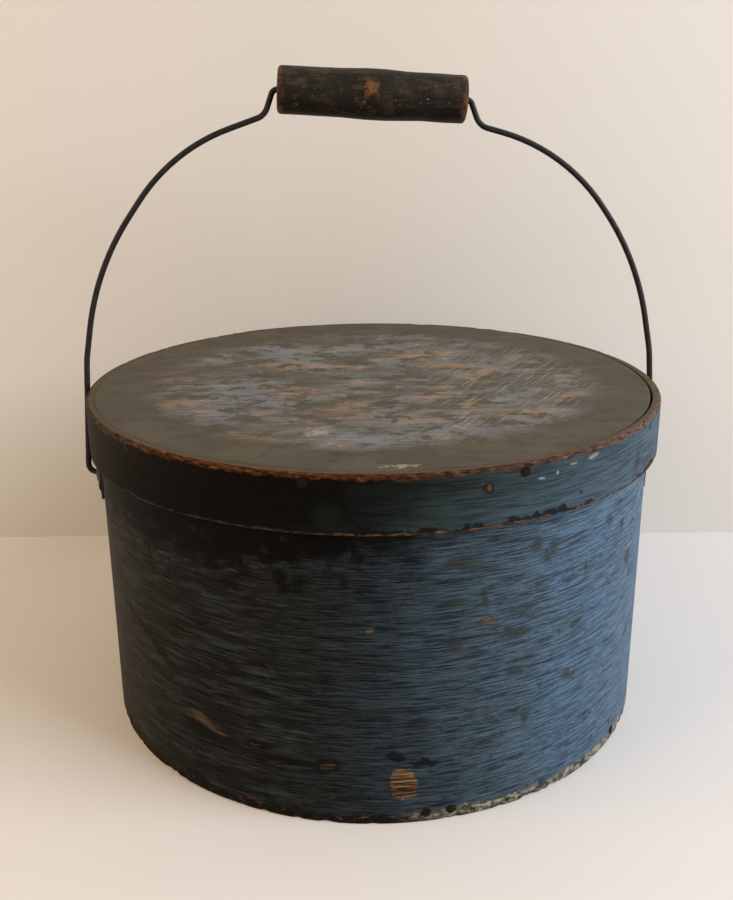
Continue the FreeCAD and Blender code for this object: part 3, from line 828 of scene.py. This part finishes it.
def turned_grip():
    """The grip: a bored, turned bar with a soft swell round its middle."""
    bm = bmesh.new()
    half, end, bore = 50.6 * MM, 12.4 * MM, 1.95 * MM
    swell, swell_at, swell_width = 0.8 * MM, 2 * MM, 15 * MM
    outline = [(-half, bore), (-half, end), (half, end), (half, bore)]
    verts = [bm.verts.new((x, 0, z)) for x, z in outline]
    for pair in zip(verts, verts[1:] + verts[:1]):
        bm.edges.new(pair)
    bmesh.ops.bevel(
        bm, geom=[verts[1], verts[2]], offset=2.2 * MM, segments=6, profile=0.5,
        affect="VERTICES", material=-1,
    )
    long_edges = [edge for edge in bm.edges if edge.calc_length() > half]
    bmesh.ops.subdivide_edges(bm, edges=long_edges, cuts=60)
    bmesh.ops.spin(
        bm, geom=bm.verts[:] + bm.edges[:], cent=(0, 0, 0), axis=(1, 0, 0), angle=2 * math.pi,
        steps=96, use_merge=True,
    )
    for vert in bm.verts:
        spot = vert.co.copy()
        reach = math.hypot(spot.y, spot.z)
        if reach > bore * 1.5:
            ring = swell * math.exp(-(((spot.x - swell_at) / swell_width) ** 2))
            dent = noise.fractal(spot * 60, 0.9, 2.0, 3) * 0.22 * MM
            vert.co.y *= 1 + (ring + dent) / reach
            vert.co.z *= 1 + (ring + dent) / reach
    tilted = Matrix.Rotation(-LEAN, 3, "X") @ Matrix.Rotation(TILT, 3, "Y")
    return turned_and_moved(bm, tilted, grip_centre)


finish_piece(
    body_hoop(), "bent_body", "box", milk_paint_on_body(), "body_hoop"
)
finish_piece(
    lid_band(), "bent_lid_band", "lid", milk_paint_on_band(), "lid_band"
)
finish_piece(
    lid_board(), "round_lid_board", "lid", worn_paint_on_lid(), "lid_board"
)
wire_iron = dark_iron("drawn_iron_wire", "#282525", "#100e0e", "#2a1a12", 0.6)
finish_piece(bail_wire(), "bent_bail", "bail", wire_iron, "bail_wire")
finish_piece(turned_grip(), "turned_grip", "grip", blackened_maple(), "bail_grip")

painted_nails = painted_over_iron()
ear_metal = dark_iron("blackened_sheet_iron", "#2a2622", "#12100d", "#3d2818", 0.55)
CARRIED = {
    "bottom_board": bare_board(),
    "bail_ear_left": ear_metal,
    "bail_ear_right": ear_metal,
}
for name, packed in frame["nodes"].items():
    if not packed.hide_render:
        packed.material_slots[0].material = CARRIED.get(name, painted_nails)


# Floor, wall, light and camera

# The wall stands just clear of the floor, which leaves a thin dark line under it
WALL_Y = 0.19
WALL_GAP = 0.7 * MM
TURN_RIGHT = math.radians(2.7)


def flat_stage(name, colour, size, place, upright):
    """One plain pale plane of the studio."""
    bm = bmesh.new()
    bmesh.ops.create_grid(bm, x_segments=1, y_segments=1, size=size)
    turned_and_moved(bm, Matrix.Rotation(math.pi / 2 if upright else 0.0, 3, "X"), place)
    turned_and_moved(bm, Matrix.Rotation(-TURN_RIGHT, 3, "Z"), (0, 0, 0))
    mesh = bpy.data.meshes.new(name)
    bm.to_mesh(mesh)
    bm.free()
    material, tree, shader = new_material(name + "_paint", Roughness=0.8, Specular_IOR_Level=0.1)
    shader.inputs["Base Color"].default_value = linear(colour)
    mesh.materials.append(material)
    plane = bpy.data.objects.new(name, mesh)
    bpy.context.scene.collection.objects.link(plane)
    return tree, shader


# The wall shows from its front only, so it doesn't stand before the box in a view from behind
flat_stage("floor", "#dadada", 3.0, (0, 0, 0), False)
tree, shader = flat_stage("wall", "#dedbd6", 2.0, (0, WALL_Y, 2.0 + WALL_GAP), True)
facing = node(tree, "NewGeometry").outputs["Backfacing"]
see_through = node(tree, "BsdfTransparent")
one_sided = node(tree, "MixShader", {0: facing, 1: shader.outputs[0], 2: see_through})
output = next(n for n in tree.nodes if n.type == "OUTPUT_MATERIAL")
tree.links.new(one_sided.outputs[0], output.inputs["Surface"])


AIM_HEIGHT = 0.12


def soft_light(name, place, size, watts, colour):
    """A square softbox aimed at the box."""
    lamp = bpy.data.lights.new(name, "AREA")
    lamp.size = size
    lamp.energy = watts
    lamp.color = linear(colour)[:3]
    holder = bpy.data.objects.new(name, lamp)
    holder.location = place
    towards = Vector((0, 0, AIM_HEIGHT)) - Vector(place)
    holder.rotation_euler = towards.to_track_quat("-Z", "Y").to_euler()
    bpy.context.scene.collection.objects.link(holder)


soft_light("key_softbox", (1.5, -0.8, 1.3), 1.3, 39, "#f6f8ff")
soft_light("fill_softbox", (-1.3, -0.5, 1.3), 1.2, 14, "#ffcf92")

world = bpy.data.worlds.new("studio")
world.use_nodes = True
world.node_tree.nodes["Background"].inputs["Color"].default_value = linear("#f3eadc")
world.node_tree.nodes["Background"].inputs["Strength"].default_value = 0.5
bpy.context.scene.world = world

# The photograph's camera, as it was fitted to the circles of the box
CAMERA_AT = (-0.0293, -0.5429, 0.3179)
FOCAL_PX = 1027.4
LONG_SIDE_PX = 900
PITCH_DOWN = 0.3262
ROLL = -0.0075
camera = bpy.data.cameras.new("camera")
camera.sensor_width = 36
camera.lens = 36 * FOCAL_PX / LONG_SIDE_PX
camera_holder = bpy.data.objects.new("camera", camera)
camera_holder.matrix_world = (
    Matrix.Translation(CAMERA_AT)
    @ Matrix.Rotation(-TURN_RIGHT, 4, "Z")
    @ Matrix.Rotation(math.pi / 2 - PITCH_DOWN, 4, "X")
    @ Matrix.Rotation(ROLL, 4, "Z")
)
bpy.context.scene.collection.objects.link(camera_holder)
bpy.context.scene.camera = camera_holder
bpy.context.scene.view_settings.view_transform = "Standard"
